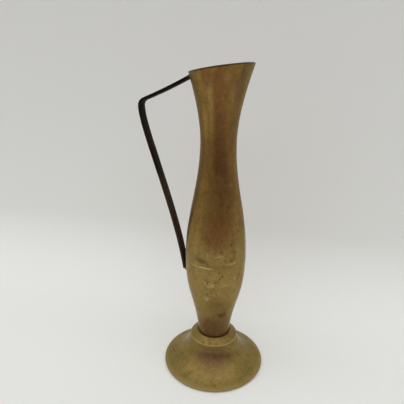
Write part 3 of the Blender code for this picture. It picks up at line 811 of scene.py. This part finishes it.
def neck(looks):
    """Upper shell with its oblique rim, raised by hand, so that it isn't quite true."""
    lip_round = 0.00035
    bottom = SEAM_HEIGHT + SEAM_HALF_HEIGHT
    levels = 3 * ALONG
    rims = {}

    def rim(angle):
        if angle not in rims:
            rims[angle] = rim_at(angle) - lip_round
        return rims[angle]

    def wall(level, inwards):
        def row(angle):
            height = bottom + (rim(angle) - bottom) * level / levels
            return body_wall(NECK_CURVE, angle, height) - inwards, height
        return row

    def lip(step):
        """Rounding of the rim, from the inside at step 0 to the outside."""
        def row(angle):
            radius, height = wall(levels, 0.0)(angle)
            turn = math.pi * step / ROUND_STEPS
            return radius - NECK_WALL * (1 + math.cos(turn)) / 2, height + lip_round * math.sin(turn)
        return row

    rows = [lip(step) for step in range(1, ROUND_STEPS)]
    rows += [wall(level, 0.0) for level in range(levels, -1, -1)]
    rows += [wall(level, NECK_WALL) for level in range(levels + 1)]
    finish_mesh("neck_skin", lathe(rows), looks, "neck_shell", 60)


def bowl(looks):
    """Lower bowl up to the seam."""
    bottom = FOOT_HEIGHT + GAP + COLLAR_FLOOR + GAP
    corner = (BASE_RADIUS - BASE_FLARE * BOWL_CORNER_RISE, CROWN_HEIGHT - BOWL_CORNER_RISE)
    turn_in = bezier((BOWL_FLAT_RADIUS, bottom), (BASE_RADIUS - BOWL_CORNER_RUN, bottom),
                     corner, BOWL_CURVE[0], ROUND_STEPS)
    inside = offset(turn_in[:-1] + BOWL_CURVE, -BOWL_WALL)
    top = SEAM_HEIGHT - SEAM_HALF_HEIGHT
    levels = 2 * ALONG

    def wall(level):
        def row(angle):
            height = CROWN_HEIGHT + (top - CROWN_HEIGHT) * level / levels
            return body_wall(BOWL_CURVE, angle, height), height
        return row

    rows = [wall(level) for level in range(levels, -1, -1)] + turn_in[-2::-1]
    rows += [(0.0, bottom), (0.0, bottom + BOWL_WALL), (BOWL_FLAT_RADIUS, bottom + BOWL_WALL)]
    rows += [point for point in inside[1:] if point[1] < top] + [(BELLY_RADIUS - BOWL_WALL, top)]
    finish_mesh("bowl_skin", lathe(rows), looks, "lower_bowl", 60)


def seam(looks):
    """Braze in the groove between the shells, filed almost flush by hand."""
    crest_mean, crest_swing = 0.00010, 0.00009
    edge = 0.99  # share of the half height, clear of both shells

    def row(up, proud):
        def at(angle):
            around = Vector((math.cos(angle) * 5, math.sin(angle) * 5, 4.0))
            height = SEAM_HEIGHT + SEAM_HALF_HEIGHT * up
            crest = crest_mean + crest_swing * noise.noise(around)
            return body_wall(BOWL_CURVE, angle, min(height, SEAM_HEIGHT)) + crest * proud, height
        return at

    def root(up):
        return (BELLY_RADIUS - BOWL_WALL, SEAM_HEIGHT + SEAM_HALF_HEIGHT * up)

    rows = [root(edge)]
    for step in range(2 * ROUND_STEPS + 1):
        up = edge - 2 * edge * step / (2 * ROUND_STEPS)
        rows.append(row(up, 1 - up * up))
    rows.append(root(-edge))
    finish_mesh("seam_bead", lathe(rows), looks, "belly_seam_braze", 60)


def collar(looks):
    """Domed ring with a crisp turned edge and a narrow groove round the bowl."""
    base = FOOT_HEIGHT + GAP
    shoulder = base + COLLAR_WALL_HEIGHT
    crown_radius = BASE_RADIUS + COLLAR_GROOVE
    floor = base + COLLAR_FLOOR
    hole = STUD_RADIUS + GAP
    bevel = 0.00030
    flare = 0.00012
    swell = COLLAR_DOME / 3
    run = (COLLAR_RADIUS - crown_radius) / 3
    fall = (CROWN_HEIGHT - shoulder) / 3
    dirt_height = CROWN_HEIGHT - 0.00025
    dirt_depth = 0.0012
    dome = bezier((crown_radius + bevel, CROWN_HEIGHT), (crown_radius + run, CROWN_HEIGHT - fall + swell),
                  (COLLAR_RADIUS - run, shoulder + fall + swell), (COLLAR_RADIUS - bevel, shoulder + bevel),
                  2 * ROUND_STEPS)
    rows = [(crown_radius, CROWN_HEIGHT - bevel)] + dome
    rows += [(COLLAR_RADIUS, shoulder - bevel / 2), (COLLAR_RADIUS + flare, base)]
    rows += [(COLLAR_RADIUS - bevel, base), (hole, base), (hole, floor)]
    rows += [(crown_radius - COLLAR_SEAT_TAPER, floor), (BASE_RADIUS + 0.0002, dirt_height - dirt_depth)]
    rows += [(BASE_RADIUS + 0.00025, dirt_height)]
    finish_mesh("collar_ring", lathe(rows), looks, "foot_collar", 40)


def foot_rim(end):
    """The flare's end turning over its lip, down a narrow band and in to the floor."""
    band = (FOOT_RADIUS, LIP_HEIGHT - 0.0010)
    over = bezier(end, (FOOT_RADIUS - 0.0002, LIP_HEIGHT - 0.00015), (FOOT_RADIUS, LIP_HEIGHT - 0.0004), band,
                  ROUND_STEPS)
    tucked = bezier(band, (FOOT_RADIUS - 0.0003, 0.0010), (FOOT_RADIUS - 0.0012, 0.0004),
                    (FOOT_RADIUS - 0.0024, 0.0), ROUND_STEPS)
    return over + tucked[1:]


def foot(looks):
    """Flared foot, open underneath, with a web that the stud passes through."""
    start = (COLLAR_RADIUS + FOOT_LEDGE, FOOT_HEIGHT)
    end = (FOOT_RADIUS - 0.0007, LIP_HEIGHT)
    flare = bezier(start, (start[0] + FLARE_STEEP_RUN, start[1] - FLARE_STEEP_DROP),
                   (end[0] - FLARE_SHALLOW_RUN, end[1] + FLARE_SHALLOW_RISE), end, 2 * ALONG)
    rest_inner = FOOT_RADIUS - RIM_ROUND - RIM_LAND
    web_under = FOOT_HEIGHT - FOOT_WEB
    hole = STUD_RADIUS + GAP
    joined = 8  # the fillet under the collar takes the place of the flare's points before this one
    meets = flare[joined]
    fillet_top = (COLLAR_RADIUS + 0.00012, FOOT_HEIGHT + GAP)
    sweep_in = bezier(fillet_top, (COLLAR_RADIUS + 0.0002, FOOT_HEIGHT - GAP),
                      (meets[0] - 0.0002, meets[1] + 0.0008), meets, ROUND_STEPS)
    top = [(COLLAR_RADIUS - 0.001, FOOT_HEIGHT), (COLLAR_RADIUS + 0.00006, FOOT_HEIGHT + GAP)]
    under = [point for point in offset(flare, FOOT_WALL)[::-1] if point[0] < rest_inner - RIM_ROUND / 2]
    below_web = [point for point in under if point[1] < web_under - RIM_ROUND / 4]
    outline = top + sweep_in[:-1] + flare[joined:-1] + foot_rim(end) + [(rest_inner, 0.0)] + below_web
    outline += [(radius_at(under, web_under), web_under), (hole, web_under), (hole, FOOT_HEIGHT)]

    def row(point):
        def at(angle):
            inner_share = (point[0] - start[0]) * 100
            outer_share = (FOOT_RADIUS - point[0]) * 400
            amount = max(0.0, min(1.0, inner_share, outer_share))
            return point[0] + wobble(angle, point[1], 9.0, FOOT_WOBBLE) * amount, point[1]
        return at

    finish_mesh("foot_flare", lathe([row(point) for point in outline]), looks, "foot", 40)


def stud(looks):
    """Flanged stud with a thread below its shank, cut away at both of the thread's ends."""
    pitch = 0.0010
    depth = 0.00045
    runout = 0.0006
    point_taper = 0.0005
    threaded = NUT_HIGH.z + 0.001
    end = STUD_LOW.z
    steps = int((threaded - end) / pitch * 8)

    def thread(step):
        def row(angle):
            height = threaded - (threaded - end) * step / steps
            phase = (height / pitch - angle / (2 * math.pi)) % 1.0
            lead = min(1.0, (height - end) / runout, (threaded - height) / runout)
            valley = depth * (1 - abs(2 * phase - 1)) * max(lead, 0.0)
            taper = point_taper * max(0.0, 1 - (height - end) / runout)
            return STUD_RADIUS - valley - taper, height
        return row

    flange = (STUD_HIGH.x - STUD_LOW.x) / 2
    edge = 0.00025
    rows = [(0.0, STUD_HIGH.z), (flange - edge, STUD_HIGH.z), (flange, STUD_HIGH.z - edge)]
    rows += [(flange, STUD_HIGH.z - STUD_FLANGE), (STUD_RADIUS, STUD_HIGH.z - STUD_FLANGE)]
    rows += [thread(step) for step in range(steps + 1)] + [(0.0, end)]
    finish_mesh("stud_threaded", lathe(rows, 48), looks, "base_stud", 45)


def washer(looks):
    """Stamped washer: rounded over on its upper edge, with a small burr below."""
    rounding, burr = 0.0004, 0.00006
    outer = (WASHER_HIGH.x - WASHER_LOW.x) / 2
    hole = STUD_RADIUS + GAP
    top = WASHER_HIGH.z
    bottom = WASHER_LOW.z
    rows = [(hole, top - 0.0001), (hole + 0.0001, top)]
    rows += arc((outer - rounding, top - rounding), rounding, math.pi / 2, 0.0, 5)
    rows += [(outer, bottom + 0.00008), (outer - 0.00008, bottom), (outer - rounding, bottom + burr)]
    rows += [(hole + 0.0003, bottom + burr), (hole, bottom + 2 * burr)]
    finish_mesh("washer_plate", lathe(rows, 96), looks, "foot_washer", 30)


def nut(looks):
    """Hexagon nut with turned chamfers and a countersunk hole."""
    countersink, chamfer, blend = 0.0005, 0.0003, 0.0008
    apothem = NUT_ACROSS_FLATS / 2
    face, shoulder, corner = apothem * 0.97, apothem * 1.07, apothem * 1.16
    hole = STUD_RADIUS + GAP / 2
    top = NUT_HIGH.z
    bottom = NUT_LOW.z

    def hexagon(limit, height):
        def row(angle):
            side = (angle % (math.pi / 3)) - math.pi / 6
            return min(apothem / math.cos(side), limit), height
        return row

    rows = [hexagon(face, top), hexagon(shoulder, top - chamfer), hexagon(corner, top - blend)]
    rows += [hexagon(corner, bottom + blend), hexagon(shoulder, bottom + chamfer), hexagon(face, bottom)]
    rows += [(hole + countersink, bottom), (hole, bottom + countersink)]
    rows += [(hole, top - countersink), (hole + countersink, top)]
    finish_mesh("nut_hex", lathe(rows, 144), looks, "foot_nut", 25)


def handle_path():
    """Centre line of the strip, as distance from the axis and height: arm, corner and leg."""
    drawn_in = 0.0001  # keeps the hammered corner inside the CAD's box
    neck_height = rim_height(-MOUTH_RADIUS) - ARM_BELOW_LIP
    neck_point = (radius_at(NECK_CURVE, neck_height), neck_height)
    first = (neck_point[0] - NECK_WALL / 2, neck_height + NECK_WALL / 2 * ARM_NECK_SLOPE)
    reach = AXIS_X - STRIP_LOW.x - STRIP_THICKNESS / 2 - drawn_in
    turn_start = math.pi / 2 - ARM_CORNER_ANGLE
    bend_height = neck_height - ARM_DROP - CORNER_RADIUS * math.sin(turn_start)
    bend = arc((reach - CORNER_RADIUS, bend_height), CORNER_RADIUS, turn_start, 0.0, 2 * ROUND_STEPS)
    third = (bend[0][0] - first[0]) / 3
    arm = bezier(first, (first[0] + third, first[1] - third * ARM_NECK_SLOPE),
                 (bend[0][0] - third, bend[0][1] + third * math.tan(ARM_CORNER_ANGLE)), bend[0], ALONG)
    wall = radius_at(BOWL_CURVE, LEG_END_HEIGHT)
    end = (wall + GAP / 2 + STRIP_THICKNESS / 2, LEG_END_HEIGHT)
    leg = bezier(bend[-1], (bend[-1][0], bend[-1][1] - LEG_TOP_STRAIGHT),
                 (end[0] + LEG_END_LEAN * LEG_END_STRAIGHT, end[1] + LEG_END_STRAIGHT), end, 2 * ALONG)
    return arm[:-1] + bend[:-1] + leg


def handle(looks):
    """Flat strip with rounded edges, hammered straight by hand."""
    path = handle_path()
    half_width = STRIP_WIDTH / 2
    half_thickness = STRIP_THICKNESS / 2
    edge = 0.0004
    section = []
    for side, start in (((1, 1), 0.0), ((-1, 1), 0.5), ((-1, -1), 1.0), ((1, -1), 1.5)):
        centre = (side[0] * (half_width - edge), side[1] * (half_thickness - edge))
        for step in range(4):
            angle = math.pi * (start + step / 6)
            section.append((centre[0] + edge * math.cos(angle), centre[1] + edge * math.sin(angle)))
    mesh = bmesh.new()
    rings = []
    for index, (point, normal) in enumerate(zip(path, normals(path))):
        ring = []
        uneven = noise.noise(Vector((index * 0.11, 0.0, 7.0)))
        for across, out in section:
            out = out * (1 + 0.06 * uneven) + 0.00006 * uneven
            across = across * (1 - 0.012 * abs(uneven))
            place = (AXIS_X - point[0] - out * normal[0], across, point[1] + out * normal[1])
            ring.append(mesh.verts.new(place))
        rings.append(ring)
    for first, second in zip(rings, rings[1:]):
        for index in range(len(section)):
            following = (index + 1) % len(section)
            mesh.faces.new([first[index], first[following], second[following], second[index]])
    mesh.faces.new(rings[0][::-1])
    mesh.faces.new(rings[-1])
    bmesh.ops.recalc_face_normals(mesh, faces=mesh.faces)
    finish_mesh("handle_bar", mesh, looks, "handle_strip", 50)


def fillet(name, node, centre, half_sizes, curve, looks):
    """Lump of braze that hugs the body's wall where the strip meets it."""
    clearance = 0.00002
    mesh = bmesh.new()
    bmesh.ops.create_uvsphere(mesh, u_segments=48, v_segments=28, radius=1.0)
    for vert in mesh.verts:
        lumpy = 1 + 0.16 * noise.noise(vert.co * 2.3 + Vector((centre[1] * 90, 0.0, 0.0)))
        away = centre[0] + half_sizes[0] * vert.co.x * lumpy
        across = half_sizes[1] * vert.co.y * lumpy
        height = centre[1] + half_sizes[2] * vert.co.z * lumpy
        wall = radius_at(curve, height) + clearance
        if math.hypot(away, across) < wall:
            away = math.sqrt(wall ** 2 - across ** 2)
        vert.co = Vector((AXIS_X - away, across, height))
    bmesh.ops.recalc_face_normals(mesh, faces=mesh.faces)
    finish_mesh(name, mesh, looks, node, 60)


def fillets(looks):
    """The lumps at the handle's two ends, each a little wider than the strip."""
    proud, overlap = 0.0013, 0.0007
    half_width = STRIP_WIDTH / 2 + overlap
    top = rim_height(-MOUTH_RADIUS) - ARM_BELOW_LIP
    fillet("handle_top_fillet", "handle_top_braze", (radius_at(NECK_CURVE, top), top),
           (proud, half_width, STRIP_THICKNESS / 2 + overlap), NECK_CURVE, looks)
    bottom = LEG_END_HEIGHT
    fillet("handle_bottom_fillet", "handle_bottom_braze", (radius_at(BOWL_CURVE, bottom), bottom),
           (proud, half_width, 0.0024), BOWL_CURVE, looks)


camera()
sweep()
lights()
room()
# The body's lines: painted shade along the rim, and a painted sheen at a grazing angle
body_lines = ((rim_painted_shade, PAINTED_RIM_SHADE), (painted_grazing_sheen(0.55), PAINTED_SHEEN_TINT))
body_looks = aged_brass("aged_body_brass", BOWL_TONES, BODY_MARKS, body_lines, NECK_TONES)
# The foot's lines: wear and painted highlights on the lip and the collar's edge, dirt and painted shade in
# the groove, and a painted sheen at a grazing angle
foot_lines = ((lip_wear_and_highlight, RUBBED_AND_HIGHLIGHT), (collar_edge_wear_and_highlight, RUBBED_AND_HIGHLIGHT), (groove_dirt_and_shade, GROOVE_BROWN), (painted_grazing_sheen(0.35), PAINTED_SHEEN_TINT))
foot_looks = aged_brass("aged_foot_brass", FOOT_TONES, FOOT_MARKS, foot_lines)
braze_looks = dull_braze("dull_braze")
seam_looks = seam_braze("seam_braze")
fastener_looks = aged_brass("fastener_brass", FASTENER_TONES)
neck(body_looks)
bowl(body_looks)
seam(seam_looks)
collar(foot_looks)
foot(foot_looks)
handle(black_strip("black_strip"))
stud(fastener_looks)
washer(fastener_looks)
nut(fastener_looks)
fillets(braze_looks)
